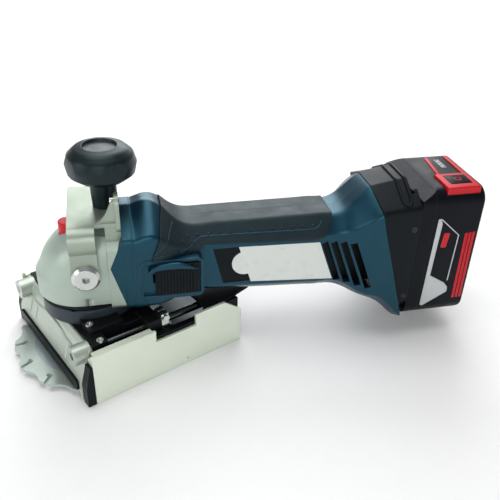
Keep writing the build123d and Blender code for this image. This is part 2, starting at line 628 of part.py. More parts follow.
with BuildPart() as housing:
    add(shell_outside.part)
    add(cavity.part, mode=Mode.SUBTRACT)
    add(bosses.part)
    split(bisect_by=RIM, keep=Keep.BOTTOM)
    disc(0, 0, 30, COLLAR_Z + GAP, SCALLOP_R, mode=Mode.SUBTRACT)
    for k in range(VENTS):
        centre = (VENT_FIRST[0] + VENT_PITCH * k, 0, VENT_FIRST[1] - k)
        with Locations(Location(centre, (0, -20, 0))):
            Box(VENT_SIZE[0], 90, VENT_SIZE[1] + 1.2 * k, mode=Mode.SUBTRACT)
    for x, z in HOUSING_SCREWS:
        along_y(x, -14, 60, z, 1.5, mode=Mode.SUBTRACT)
        along_y(x, SCREW_HEAD_Y, 60, z, 3.4, mode=Mode.SUBTRACT)

with BuildPart() as housing_right:
    add(housing.part)
    split(bisect_by=Plane.XZ, keep=Keep.BOTTOM)
save(housing_right, "housing_right", on_head=True)

with BuildPart() as housing_left:
    add(housing.part)
    split(bisect_by=Plane.XZ, keep=Keep.TOP)
    with BuildSketch(FRONT.offset(LABEL_Y)):
        with Locations(((PAD[0] + PAD[1]) / 2, (PAD[2] + PAD[3]) / 2)):
            RectangleRounded(PAD[1] - PAD[0], PAD[3] - PAD[2], 5)
    extrude(amount=PAD_Y - LABEL_Y)
    block(POCKET[0], POCKET[1], -PAD_Y, -POCKET_Y, POCKET[2], POCKET[3], mode=Mode.SUBTRACT)
    block(SLOT[0], SLOT[1], -PAD_Y, -20, SLOT[2], SLOT[3], mode=Mode.SUBTRACT)
    block(LINK[0] - 8, INSERT[0][0] - 1, -LINK_Y[1] - 1, -20, LINK[2] - 1, LINK[3] + 1,
          mode=Mode.SUBTRACT)
    for outline, depth in ((LABEL, LABEL_T), (INSERT, LABEL_T + INSERT_T)):
        with BuildSketch(FRONT.offset(LABEL_Y - depth)):
            with BuildLine():
                Polyline(*outline, close=True)
            make_face()
        extrude(amount=depth + 1, mode=Mode.SUBTRACT)
save(housing_left, "housing_left", on_head=True)

with BuildPart() as side_insert:
    with BuildSketch(FRONT.offset(LABEL_Y - LABEL_T - INSERT_T)):
        with BuildLine():
            Polyline(*INSERT, close=True)
        make_face()
    extrude(amount=INSERT_T)
save(side_insert, "side_insert", on_head=True)

with BuildPart() as label_plate:
    with BuildSketch(FRONT.offset(LABEL_Y - LABEL_T)):
        with BuildLine():
            Polyline(*LABEL, close=True)
        make_face()
        with Locations(LABEL_TONGUE[:2]):
            Circle(LABEL_TONGUE[2])
    extrude(amount=LABEL_T)
save(label_plate, "label_plate", on_head=True)

with BuildPart() as housing_screws:
    for x, z in HOUSING_SCREWS:
        along_y(x, -14, SCREW_HEAD_Y, z, 1.5)
        along_y(x, SCREW_HEAD_Y, SCREW_HEAD_Y + 2.4, z, 3.0)
        along_y(x, SCREW_HEAD_Y + 1, SCREW_HEAD_Y + 3, z, 1.2, mode=Mode.SUBTRACT)
save(housing_screws, "housing_screws", on_head=True)

# The grip is moulded over the top of each handle shell.
GRIP_T = 1.5
GRIP_EDGE = [(62, 140), (52, 108), (46, 92), (50, 87), (73, 87), (86, 99), (114, 98.3),
             (168, 95), (177, 96.5), (184, 104), (187, 112), (188, 140)]

for name, keep in (("grip_left", Keep.TOP), ("grip_right", Keep.BOTTOM)):
    with BuildPart() as grip:
        loft([section(station, GRIP_T) for station in STATIONS])
        add(shell_outside.part, mode=Mode.SUBTRACT)
        with BuildSketch(FRONT):
            with BuildLine():
                Polyline(*GRIP_EDGE, close=True)
            make_face()
        extrude(amount=60, both=True, mode=Mode.INTERSECT)
        block(PAD[0], PAD[1], -PAD_Y - 4, -LABEL_Y, PAD[2], PAD[3], mode=Mode.SUBTRACT)
        for x, z in HOUSING_SCREWS:
            along_y(x, SCREW_HEAD_Y, 60, z, 3.4, mode=Mode.SUBTRACT)
        split(bisect_by=Plane.XZ, keep=keep)
    save(grip, name, on_head=True)

# ---- slide switch ------------------------------------------------------------------------
SWITCH_RIBS = 12
SWITCH_PITCH = 2.3

with BuildPart() as slide_switch:
    block(48.5, 80.5, -PAD_Y - 1.4, -POCKET_Y - GAP, POCKET[2] + 0.6, POCKET[3] - 0.6)
    for k in range(SWITCH_RIBS):
        x = 50.5 + SWITCH_PITCH * k
        block(x, x + 1.2, -PAD_Y - 2.6, -PAD_Y - 1.4, POCKET[2] + 2, POCKET[3] - 2)
    block(LINK[0], LINK[0] + 7, -POCKET_Y - GAP, -LINK_Y[1], LINK[2], LINK[3])
save(slide_switch, "slide_switch", on_head=True)

with BuildPart() as switch_link:
    block(LINK[0], LINK[1], -LINK_Y[1], -LINK_Y[0], LINK[2], LINK[3])
    block(LINK[1] - 4, LINK[1], -LINK_Y[0], -6, LINK[2], LINK[3])
save(switch_link, "switch_link", on_head=True)

# ---- motor -------------------------------------------------------------------------------
SHAFT_R = 4.0
CORE = (50.0, 80.0, 15.2)
BRACKET = (97.0, 102.5)
REAR_BEARING = (97.3, 102.3, 9.5)
COMMUTATOR = (87.5, 96.0, 8.0)

with BuildPart() as motor_can:
    along_x(*CAN, 0, AXIS_Z, CAN_R)
    along_x(*CAN, 0, AXIS_Z, CAN_R - 1.8, mode=Mode.SUBTRACT)
save(motor_can, "motor_can", on_head=True)

with BuildPart() as motor_magnets:
    along_x(CORE[0] - 1, CORE[1] + 1, 0, AXIS_Z, CAN_R - 1.8)
    along_x(CORE[0] - 1, CORE[1] + 1, 0, AXIS_Z, CORE[2] + 0.8, mode=Mode.SUBTRACT)
    for y in (-1, 1):
        block(CORE[0] - 2, CORE[1] + 2, y * 20 - 14, y * 20 + 14, AXIS_Z - 5, AXIS_Z + 5,
              mode=Mode.SUBTRACT)
save(motor_magnets, "motor_magnets", on_head=True)

with BuildPart() as armature_bearings:
    for x0, x1, outer in (BEARING_FRONT, REAR_BEARING):
        along_x(x0, x1, 0, AXIS_Z, outer)
        along_x(x0, x1, 0, AXIS_Z, SHAFT_R + FIT, mode=Mode.SUBTRACT)
save(armature_bearings, "armature_bearings", on_head=True)

with BuildPart() as brush_holder:
    along_x(*BRACKET, 0, AXIS_Z, CAN_R)
    along_x(REAR_BEARING[0], REAR_BEARING[1], 0, AXIS_Z, REAR_BEARING[2], mode=Mode.SUBTRACT)
    along_x(BRACKET[0] - 1, BRACKET[1] + 1, 0, AXIS_Z, 7, mode=Mode.SUBTRACT)
    for side in (-1, 1):
        low, high = sorted((side * 10, side * 21))
        block(87, BRACKET[0], low, high, AXIS_Z - 5, AXIS_Z + 5)
        low, high = sorted((side * 9, side * 22))
        block(89, 95, low, high, AXIS_Z - 3.2, AXIS_Z + 3.2, mode=Mode.SUBTRACT)
save(brush_holder, "brush_holder", on_head=True)

with BuildPart() as carbon_brushes:
    for side in (-1, 1):
        low, high = sorted((side * 8.15, side * 18))
        block(89.1, 94.9, low, high, AXIS_Z - 3.1, AXIS_Z + 3.1)
save(carbon_brushes, "carbon_brushes", on_head=True)

with BuildPart() as armature_shaft:
    along_x(9, 104, 0, AXIS_Z, SHAFT_R)
    along_x(9, 19.5, 0, AXIS_Z, SHAFT_R, mode=Mode.SUBTRACT)
    along_x(9, 19.5, 0, AXIS_Z, 2.5)
save(armature_shaft, "armature_shaft", on_head=True)

SLOTS = 12
with BuildPart() as armature_core:
    along_x(*CORE[:2], 0, AXIS_Z, CORE[2])
    along_x(CORE[0] - 4, CORE[1] + 4, 0, AXIS_Z, 12)
    along_x(CORE[0] - 5, CORE[1] + 5, 0, AXIS_Z, SHAFT_R, mode=Mode.SUBTRACT)
    for k in range(SLOTS):
        angle = 2 * pi * k / SLOTS
        y, z = CORE[2] * cos(angle), AXIS_Z + CORE[2] * sin(angle)
        along_x(CORE[0], CORE[1], y, z, 1.3, mode=Mode.SUBTRACT)
save(armature_core, "armature_core", on_head=True)

with BuildPart() as commutator:
    along_x(*COMMUTATOR[:2], 0, AXIS_Z, COMMUTATOR[2])
    along_x(*COMMUTATOR[:2], 0, AXIS_Z, SHAFT_R, mode=Mode.SUBTRACT)
save(commutator, "commutator", on_head=True)

FAN = (36.0, 41.6, 24.0)
FAN_BLADES = 11
with BuildPart() as fan:
    along_x(FAN[0], FAN[1], 0, AXIS_Z, 8)
    along_x(FAN[1] - 1.5, FAN[1], 0, AXIS_Z, FAN[2])
    for k in range(FAN_BLADES):
        with Locations(Location((FAN[0] + 1, 0, AXIS_Z), (360 * k / FAN_BLADES, 0, 0))):
            with Locations((0, 0, 7)):
                Box(FAN[1] - FAN[0] - 1.5, 1.5, FAN[2] - 8,
                    align=(Align.MIN, Align.CENTER, Align.MIN))
    along_x(FAN[0] - 1, FAN[1] + 1, 0, AXIS_Z, SHAFT_R, mode=Mode.SUBTRACT)
save(fan, "fan", on_head=True)

PITCH_R = MODULE * PINION_TEETH / 2
PINION_ROOT_R = PITCH_R - 1.1
PINION_TIP_R = PITCH_R + 0.9
PINION = (12.5, 18.0)
with BuildPart() as pinion:
    along_x(*PINION, 0, AXIS_Z, PINION_ROOT_R)
    for k in range(PINION_TEETH):
        with Locations(Location((PINION[0], 0, AXIS_Z), (360 * (k + 0.5) / PINION_TEETH, 0, 0))):
            with Locations((0, 0, PINION_ROOT_R - 0.5)):
                Box(PINION[1] - PINION[0], 0.8, PINION_TIP_R - PINION_ROOT_R + 0.5,
                    align=(Align.MIN, Align.CENTER, Align.MIN))
    along_x(PINION[0] - 1, PINION[1] + 1, 0, AXIS_Z, 2.5, mode=Mode.SUBTRACT)
save(pinion, "pinion", on_head=True)

# ---- spindle -----------------------------------------------------------------------------
CROWN_Z = 68.0
CROWN_ROOT = CROWN_TOP - 1.9
CROWN_IN = 13.5
CROWN_OUT = 19.5
LOCK_HOLES = 6
SCREW_PCD_R = 13.0

with BuildPart() as spindle:
    disc(0, 0, BLADE_Z + 0.4, FLANGE_TOP - 4, 5)
    disc(0, 0, FLANGE_TOP - 4, UPPER_SEAT[0] - 4, SPINDLE_R)
    disc(0, 0, UPPER_SEAT[0] - 4, SPINDLE_TOP, SPINDLE_NECK_R)
    chamfer(edges().group_by(Axis.Z)[-1], 0.5)
save(spindle, "spindle", on_head=True)

with BuildPart() as inner_flange:
    disc(0, 0, BLADE_Z + BLADE_T, FLANGE_TOP, FLANGE_R)
    disc(0, 0, FLANGE_TOP, 26, 10)
    disc(0, 0, BLADE_Z, FLANGE_TOP - 4, 5, mode=Mode.SUBTRACT)
    disc(0, 0, FLANGE_TOP - 4, 30, SPINDLE_R, mode=Mode.SUBTRACT)
    with PolarLocations(SCREW_PCD_R, 4):
        Cylinder(2, 11 * 2, mode=Mode.SUBTRACT)
save(inner_flange, "inner_flange", on_head=True)

with BuildPart() as blade:
    disc(0, 0, BLADE_Z, BLADE_Z + BLADE_T, BLADE_R)
    with PolarLocations(BLADE_R, TEETH):
        with Locations(Location((-4, 1.2, BLADE_Z), (0, 0, 14))):
            Box(SLOT_SIZE[0], SLOT_SIZE[1], 3 * BLADE_T, mode=Mode.SUBTRACT)
        with Locations(Location((-3, 0, BLADE_Z), (0, 0, 14))):
            with Locations((-SLOT_SIZE[0] / 2, 0)):
                Cylinder(SLOT_SIZE[1] * 0.65, 3 * BLADE_T, mode=Mode.SUBTRACT)
    with PolarLocations(BLADE_R + GULLET_R - GULLET_DEPTH, TEETH, start_angle=-155 / TEETH):
        Cylinder(GULLET_R, 30, mode=Mode.SUBTRACT)
    disc(0, 0, 0, 10, 5, mode=Mode.SUBTRACT)
    with PolarLocations(SCREW_PCD_R, 4):
        Cylinder(2, 20, mode=Mode.SUBTRACT)
        with Locations((0, 0, BLADE_Z)):
            Cone(3.6, 2, 1.6, align=(Align.CENTER, Align.CENTER, Align.MIN),
                 mode=Mode.SUBTRACT)
save(blade, "blade", on_head=True)

with BuildPart() as blade_screws:
    with PolarLocations(SCREW_PCD_R, 4):
        with Locations((0, 0, BLADE_Z)):
            Cylinder(2, 7, align=(Align.CENTER, Align.CENTER, Align.MIN))
            Cone(3.6, 2, 1.6, align=(Align.CENTER, Align.CENTER, Align.MIN))
            Cylinder(1.2, 2.4, mode=Mode.SUBTRACT)
save(blade_screws, "blade_screws", on_head=True)

with BuildPart() as crown_gear:
    disc(0, 0, CROWN_Z, CROWN_ROOT, CROWN_OUT)
    with PolarLocations((CROWN_IN + CROWN_OUT) / 2, CROWN_TEETH):
        with Locations((0, 0, CROWN_ROOT)):
            Box(CROWN_OUT - CROWN_IN, 0.9, CROWN_TOP - CROWN_ROOT,
                align=(Align.CENTER, Align.CENTER, Align.MIN))
    disc(0, 0, CROWN_Z - 1, CROWN_TOP + 1, SPINDLE_R, mode=Mode.SUBTRACT)
    with PolarLocations(-BUTTON_X, LOCK_HOLES):
        with Locations((0, 0, CROWN_Z)):
            Cylinder(2.4, 20, mode=Mode.SUBTRACT)
save(crown_gear, "crown_gear", on_head=True)

# ---- electronics -------------------------------------------------------------------------
with BuildPart() as switch_module:
    block(118, 148, -12, 12, 66, 92)
    block(LINK[1] + 0.5, 118, -10, 0, 74, 82)
    fillet(edges().filter_by(Axis.X), 1.5)
save(switch_module, "switch_module", on_head=True)

with BuildPart() as control_board:
    block(152, 192, -18, 18, 70, 71.6)
    for k in range(3):
        block(156 + 11 * k, 163 + 11 * k, -14, -4, 71.6, 82)
    for y in (4, 12):
        with Locations((160, y, 71.6), (178, y, 71.6)):
            Cylinder(3.2, 12, align=(Align.CENTER, Align.CENTER, Align.MIN))
save(control_board, "control_board", on_head=True)

# ---- battery foot ------------------------------------------------------------------------
CHANNEL_X = (FOOT_REAR - 5.0, FOOT_REAR - 2.5)
CHANNEL_HALF = (26.5, 23.0)
CHANNEL_LOW = 30.0
FOOT_WALL = 3.0
FOOT_START = (205.0, 128.0, 13, 117, 38.2, 36, 27, 20.0)  # stations, as in the handle
FOOT_END = (FOOT_REAR, 136.0, 13, 120.5, 38.2, 36, 27, 20.0)
HOLLOW_END = (CHANNEL_X[0] - FOOT_WALL - FOOT_START[0]) / (FOOT_REAR - FOOT_START[0])

with BuildPart() as battery_foot:
    loft([section(FOOT_START), section(FOOT_END)])
    loft([section(FOOT_START, -FOOT_WALL),
          section(between(FOOT_START, FOOT_END, HOLLOW_END), -FOOT_WALL)], mode=Mode.SUBTRACT)
    block(CHANNEL_X[0], CHANNEL_X[1], -CHANNEL_HALF[0], CHANNEL_HALF[0], CHANNEL_LOW, 140,
          mode=Mode.SUBTRACT)
    block(CHANNEL_X[1], FOOT_REAR, -CHANNEL_HALF[1], CHANNEL_HALF[1], CHANNEL_LOW, 140,
          mode=Mode.SUBTRACT)
    split(bisect_by=RIM, keep=Keep.TOP)
save(battery_foot, "battery_foot", on_head=True)

CONTACTS = (-12.0, 0.0, 12.0)
with BuildPart() as terminal_block:
    block(CHANNEL_X[0], FOOT_REAR - 0.5, -17, 17, CHANNEL_LOW, 35.5)
    for y in CONTACTS:
        block(FOOT_REAR - 3.5, FOOT_REAR - 1.5, y - 0.4, y + 0.4, 35.5, 45)
save(terminal_block, "terminal_block", on_head=True)

# ---- battery -----------------------------------------------------------------------------
PACK_SPLIT = 261.0
PACK_WALL = 2.4
RAIL_TOP = 118.0
BUTTON = (270.0, 297.0, -34.0, -9.0)  # release button: x and y limits
CELL_X = PACK_FRONT + 16.5  # axis of the front row of cells
ROW_PITCH = CELL_PITCH + 0.4


def pack_body(grow):
    """The pack's rounded box with two corners cut off, grown or shrunk all round."""
    corner = Plane(origin=(PACK_REAR - 4 + grow, 0, PACK_LOW + 4 - grow), z_dir=(1, 0, -1))
    slope = Plane(origin=(PACK_FRONT, 0, PACK_TOP - 7), z_dir=(-1, 0, 2)).offset(grow)
    with BuildPart() as body:
        with BuildSketch(Plane.YZ.offset(PACK_FRONT - grow)):
            with Locations((0, (PACK_LOW + PACK_TOP) / 2)):
                RectangleRounded(2 * (PACK_HALF + grow), PACK_TOP - PACK_LOW + 2 * grow,
                                 12 + grow)
        extrude(amount=PACK_REAR - PACK_FRONT + 2 * grow)
        fillet(edges().group_by(Axis.X)[-1], 3)
        split(bisect_by=corner, keep=Keep.BOTTOM)
        split(bisect_by=slope, keep=Keep.BOTTOM)
    return body.part


with BuildPart() as battery:
    add(pack_body(0))
    add(pack_body(-PACK_WALL), mode=Mode.SUBTRACT)
    block(BUTTON[0] - 0.4, BUTTON[1] + 0.4, BUTTON[2] - 0.4, BUTTON[3] + 0.4, 121, 140,
          mode=Mode.SUBTRACT)

with BuildPart() as battery_rear_shell:
    add(battery.part)
    split(bisect_by=Plane.YZ.offset(PACK_SPLIT), keep=Keep.TOP)
save(battery_rear_shell, "battery_rear_shell", on_head=True)

with BuildPart() as battery_front_shell:
    add(battery.part)
    split(bisect_by=Plane.YZ.offset(PACK_SPLIT), keep=Keep.BOTTOM)
    block(CHANNEL_X[1] + 0.4, PACK_FRONT, -CHANNEL_HALF[1] + 0.5, CHANNEL_HALF[1] - 0.5, 36.2,
          RAIL_TOP)
    block(CHANNEL_X[0] + 0.4, CHANNEL_X[1] - 0.4, -CHANNEL_HALF[0] + 0.5,
          CHANNEL_HALF[0] - 0.5, 36.2, RAIL_TOP)
    block(CHANNEL_X[1] - 0.4, CHANNEL_X[1] + 0.4, -CHANNEL_HALF[1] + 0.5,
          CHANNEL_HALF[1] - 0.5, 36.2, RAIL_TOP)
    for y in CONTACTS:
        block(CHANNEL_X[0], FOOT_REAR - 0.8, y - 1.2, y + 1.2, 36, 47, mode=Mode.SUBTRACT)
save(battery_front_shell, "battery_front_shell", on_head=True)

with BuildPart() as battery_cells:
    for x in (CELL_X, CELL_X + ROW_PITCH):
        for k in range(5):
            z = (PACK_LOW + PACK_TOP) / 2 + CELL_PITCH * (k - 2)
            along_y(x, -CELL_LENGTH / 2, CELL_LENGTH / 2, z, CELL_R)
save(battery_cells, "battery_cells", on_head=True)

with BuildPart() as release_button:
    block(*BUTTON, 126, 134)
    fillet(edges().group_by(Axis.Z)[-1], 1.2)
    block(BUTTON[0] + 5, BUTTON[1] - 4, BUTTON[2] + 6, BUTTON[3] - 4, 133.2, 135,
          mode=Mode.SUBTRACT)
save(release_button, "release_button", on_head=True)
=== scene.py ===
"""The looks of a cordless biscuit joiner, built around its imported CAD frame, in metres.

Sizes are in millimetres, in the frame of the part that they belong to: BASE is the shoe's frame,
and HEAD is that of the head, which is turned on its carriage at rest."""

import math

import bmesh
import bpy
from mathutils import Matrix, Vector
from mathutils.bvhtree import BVHTree


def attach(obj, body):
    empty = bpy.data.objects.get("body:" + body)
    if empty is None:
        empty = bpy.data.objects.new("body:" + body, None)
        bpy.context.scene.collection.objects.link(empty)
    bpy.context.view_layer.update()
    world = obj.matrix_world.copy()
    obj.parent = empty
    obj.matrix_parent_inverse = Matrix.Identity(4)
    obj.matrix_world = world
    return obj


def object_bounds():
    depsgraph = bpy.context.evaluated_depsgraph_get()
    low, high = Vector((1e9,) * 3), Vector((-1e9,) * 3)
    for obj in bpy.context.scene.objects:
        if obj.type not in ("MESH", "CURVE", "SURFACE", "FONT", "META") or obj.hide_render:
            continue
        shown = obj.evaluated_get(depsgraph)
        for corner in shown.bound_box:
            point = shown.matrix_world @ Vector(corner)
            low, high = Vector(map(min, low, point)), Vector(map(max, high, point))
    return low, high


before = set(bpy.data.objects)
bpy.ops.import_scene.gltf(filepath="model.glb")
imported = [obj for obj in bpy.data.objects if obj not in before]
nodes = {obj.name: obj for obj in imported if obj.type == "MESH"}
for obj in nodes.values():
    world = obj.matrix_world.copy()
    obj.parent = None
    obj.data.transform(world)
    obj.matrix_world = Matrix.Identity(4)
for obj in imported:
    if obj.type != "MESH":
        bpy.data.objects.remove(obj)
cad_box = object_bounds()

MM = 0.001
HEAD_TURN = -25
BASE = Matrix.Scale(MM, 4)
HEAD = Matrix.Rotation(math.radians(HEAD_TURN), 4, "Z") @ BASE
SIDES = ((-1, "near"), (1, "far"))


# ---------------------------------------------------------------- materials


def wired(tree, kind, operation, *values):
    """A maths node of a kind and operation, with sockets or plain values going in."""
    node = tree.nodes.new(kind)
    node.operation = operation
    for socket, value in zip(node.inputs, values):
        if isinstance(value, bpy.types.NodeSocket):
            tree.links.new(value, socket)
        else:
            socket.default_value = value
    return node


def mixed(tree, factor, dark, light):
    """The colour between dark and light that the factor socket picks."""
    mix = tree.nodes.new("ShaderNodeMix")
    mix.data_type = "RGBA"
    tree.links.new(factor, mix.inputs[0])
    for socket, colour in ((mix.inputs[6], dark), (mix.inputs[7], light)):
        if isinstance(colour, bpy.types.NodeSocket):
            tree.links.new(colour, socket)
        else:
            socket.default_value = (*colour, 1)
    return mix.outputs[2]


def ranged(tree, value, low, high, to_low, to_high):
    """The value mapped from low..high to to_low..to_high, and clamped."""
    node = tree.nodes.new("ShaderNodeMapRange")
    tree.links.new(value, node.inputs[0])
    for i, number in enumerate((low, high, to_low, to_high), 1):
        node.inputs[i].default_value = number
    return node.outputs[0]


def noise(tree, vector, scale, detail=3.0, rough=0.55):
    """A noise value over a surface."""
    node = tree.nodes.new("ShaderNodeTexNoise")
    node.inputs["Scale"].default_value = scale
    node.inputs["Detail"].default_value = detail
    node.inputs["Roughness"].default_value = rough
    tree.links.new(vector, node.inputs["Vector"])
    return node.outputs["Fac"]


def place_vector(tree, stretch=(1, 1, 1), turn=0.0):
    """The object's own coordinates, turned about Z and then stretched."""
    coord = tree.nodes.new("ShaderNodeTexCoord")
    turned = tree.nodes.new("ShaderNodeMapping")
    turned.inputs["Rotation"].default_value = (0, 0, math.radians(turn))
    tree.links.new(coord.outputs["Object"], turned.inputs["Vector"])
    scaled = tree.nodes.new("ShaderNodeMapping")
    scaled.inputs["Scale"].default_value = stretch
    tree.links.new(turned.outputs["Vector"], scaled.inputs["Vector"])
    return scaled.outputs["Vector"]


def distance(tree, place):
    """How far a place is from the origin."""
    return wired(tree, "ShaderNodeVectorMath", "LENGTH", place).outputs["Value"]


def worn_and_highlit_edges(tree, rounding, place, wear_and_highlight):
    """How far edges are lightened, from none up to the given amount, in patches: partly rubbed bare, partly
    a painted edge highlight.
    """
    geometry = tree.nodes.new("ShaderNodeNewGeometry")
    flatness = wired(tree, "ShaderNodeVectorMath", "DOT_PRODUCT", rounding, geometry.outputs["Normal"])
    worn_and_lit = ranged(tree, flatness.outputs["Value"], 0.995, 0.8, 0, wear_and_highlight)
    patches = ranged(tree, noise(tree, place, 160), 0.35, 0.6, 0.25, 1)
    return wired(tree, "ShaderNodeMath", "MULTIPLY", worn_and_lit, patches).outputs[0]


def tinted(colour, factor):
    """A colour made darker or lighter."""
    return tuple(min(1.0, c * factor) for c in colour)


def material(name, colour, rough, metal=0.0, spread=0.12, cloud=40, grain=1500, bump=0.12,
             rough_spread=0.06, stretch=(1, 1, 1), turn=0.0, wear_and_highlight=0.0, edge=0.5, coat=0.0,
             rings=False, hub=None, specular=0.5, tint=(1, 1, 1)):
    """One moulded, cast, ground or painted surface: cloudy colour, fine grain, and lighter edges, partly
    worn and partly a painted highlight.

    spread is how much the colour varies. cloud and grain are the scales of the two noises, and
    stretch, after a turn in degrees, draws the grain out. rings lays the grain round the Z axis,
    and hub is a radius, with the colour inside it. edge is the radius that corners look rounded to."""
    made = bpy.data.materials.new(name)
    made.use_nodes = True
    tree = made.node_tree
    shader = tree.nodes["Principled BSDF"]
    shader.inputs["Metallic"].default_value = metal
    shader.inputs["Coat Weight"].default_value = coat
    shader.inputs["Coat Roughness"].default_value = 0.25
    shader.inputs["Specular IOR Level"].default_value = specular
    shader.inputs["Specular Tint"].default_value = (*tint, 1)

    plain = place_vector(tree)
    fine = place_vector(tree, stretch, turn)
    if rings:
        flat = wired(tree, "ShaderNodeVectorMath", "MULTIPLY", plain, (1, 1, 0))
        fine = distance(tree, flat.outputs["Vector"])

    body = mixed(tree, noise(tree, plain, cloud), tinted(colour, 1 - spread),
                 tinted(colour, 1 + spread))
    fleck = noise(tree, fine, grain, 2.0)
    body = mixed(tree, ranged(tree, fleck, 0.35, 0.65, 0, 0.35), body, tinted(colour, 1 - 2 * spread))
    if hub:
        radius, inner = hub
        body = mixed(tree, ranged(tree, fine, radius * MM, (radius + 0.4) * MM, 0, 1), inner, body)

    rounding = tree.nodes.new("ShaderNodeBevel")
    rounding.samples = 4
    rounding.inputs["Radius"].default_value = edge * MM
    # Edges lightened towards white: partly rubbed wear, partly a painted edge highlight.
    if wear_and_highlight:
        bare_and_highlit = tuple(c + (1 - c) * 0.45 for c in colour)
        body = mixed(tree, worn_and_highlit_edges(tree, rounding.outputs[0], plain, wear_and_highlight), body, bare_and_highlit)
    tree.links.new(body, shader.inputs["Base Color"])

    haze = noise(tree, plain, cloud * 2.3)
    tree.links.new(ranged(tree, haze, 0.3, 0.7, max(0.02, rough - rough_spread), rough + rough_spread),
                   shader.inputs["Roughness"])
    relief = tree.nodes.new("ShaderNodeBump")
    relief.inputs["Strength"].default_value = bump
    relief.inputs["Distance"].default_value = 0.1 * MM
    tree.links.new(fleck, relief.inputs["Height"])
    tree.links.new(rounding.outputs[0], relief.inputs["Normal"])
    tree.links.new(relief.outputs[0], shader.inputs["Normal"])
    return made


ALONG_X = (6, 900, 900)
MATERIALS = {
    "stainless": material("satin_sheet", (0.80, 0.87, 0.74), 0.40, 0.35, 0.04, stretch=(20, 20, 900),
                          grain=1, bump=0.05, wear_and_highlight=0.3),
    "zinc": material("zinc_casting", (0.50, 0.56, 0.49), 0.40, 0.55, 0.10, grain=900, bump=0.25, wear_and_highlight=0.5),
    "cast_alloy": material("bead_blasted_alloy", (0.40, 0.48, 0.42), 0.42, 0.45, 0.05, grain=1400,
                           bump=0.12, wear_and_highlight=0.3, edge=0.8),
    "grey_alloy": material("slate_grey_alloy", (0.035, 0.050, 0.058), 0.40, 0.3, 0.1, grain=1200,
                           bump=0.12, wear_and_highlight=0.12, specular=0.3),
    "bracket_steel": material("brushed_strap", (0.34, 0.40, 0.33), 0.40, 0.6, 0.06, turn=25,
                              stretch=ALONG_X, grain=1, bump=0.05, wear_and_highlight=0.4),
    "ground_steel": material("ground_rod", (0.50, 0.52, 0.50), 0.22, 1.0, 0.05, stretch=(900, 6, 6),
                             grain=1, bump=0.05),
    "dark_rod": material("oiled_rod", (0.10, 0.115, 0.11), 0.24, 1.0, 0.05, stretch=(900, 6, 6),
                         grain=1, bump=0.05),
    "blade_steel": material("ground_blade", (0.48, 0.56, 0.51), 0.36, 0.7, 0.06, rings=True,
                            hub=(47.0, (0.38, 0.45, 0.46)), grain=1800, bump=0.08, edge=0.15),
    "black_anodised": material("black_anodised", (0.006, 0.007, 0.008), 0.38, 0.2, 0.2, grain=1600,
                               bump=0.1, wear_and_highlight=0.12, specular=0.2),
    "black_plastic": material("black_plastic", (0.004, 0.005, 0.006), 0.40, 0.0, 0.2, grain=1700,
                              bump=0.16, wear_and_highlight=0.05, specular=0.16, tint=(0.75, 0.9, 1)),
    "battery_plastic": material("battery_plastic", (0.003, 0.004, 0.006), 0.38, 0.0, 0.2, grain=1500,
                                bump=0.14, wear_and_highlight=0.05, edge=0.8, specular=0.14, tint=(0.8, 0.85, 1)),
    "black_rubber": material("black_rubber", (0.006, 0.008, 0.009), 0.60, 0.0, 0.2, grain=1100,
                             bump=0.22, wear_and_highlight=0.05, specular=0.2),
    "grip_rubber": material("grip_rubber", (0.006, 0.012, 0.015), 0.50, 0.0, 0.15, grain=1300,
                            bump=0.22, wear_and_highlight=0.05, edge=0.9, specular=0.4, tint=(0.65, 0.9, 1)),
    "blue_plastic": material("blue_plastic", (0.0012, 0.013, 0.027), 0.36, 0.0, 0.10, grain=1500,
                             bump=0.07, wear_and_highlight=0.08, edge=0.9, specular=0.9, tint=(0.25, 0.75, 1)),
    "knob_plastic": material("knob_plastic", (0.004, 0.008, 0.010), 0.38, 0.0, 0.15, grain=1500,
                             bump=0.10, wear_and_highlight=0.05, edge=0.9, specular=0.35, tint=(0.7, 0.95, 1)),
    "red_plastic": material("red_plastic", (0.56, 0.006, 0.016), 0.38, 0.0, 0.08, grain=1500,
                            bump=0.08, wear_and_highlight=0.08, specular=0.3),
    "label": material("label_sheet", (0.70, 0.74, 0.70), 0.30, 0.0, 0.03, grain=900, bump=0.03,
                      coat=0.2),
    "silver_print": material("silver_print", (0.52, 0.55, 0.55), 0.38, 0.3, 0.05, grain=900, bump=0.04),
    "black_screw": material("blacked_screw", (0.03, 0.03, 0.032), 0.35, 0.8, 0.15, grain=1500, bump=0.1,
                            wear_and_highlight=0.4),
    "bright_screw": material("bright_screw", (0.62, 0.64, 0.62), 0.26, 1.0, 0.08, grain=1400, bump=0.08,
                             wear_and_highlight=0.3),
    "ferrite": material("ferrite", (0.05, 0.05, 0.052), 0.55, 0.2, 0.1, grain=900, bump=0.2),
    "circuit_board": material("circuit_board", (0.01, 0.16, 0.06), 0.35, 0.0, 0.1, grain=900, bump=0.1),
    "laminations": material("laminations", (0.30, 0.29, 0.27), 0.4, 0.9, 0.1, stretch=(1500, 6, 6),
                            grain=1, bump=0.2, turn=25),
    "copper": material("copper", (0.72, 0.30, 0.14), 0.3, 1.0, 0.1, grain=900, bump=0.1),
    "cell_wrap": material("cell_wrap", (0.03, 0.22, 0.10), 0.3, 0.0, 0.05, grain=600, bump=0.03),
}

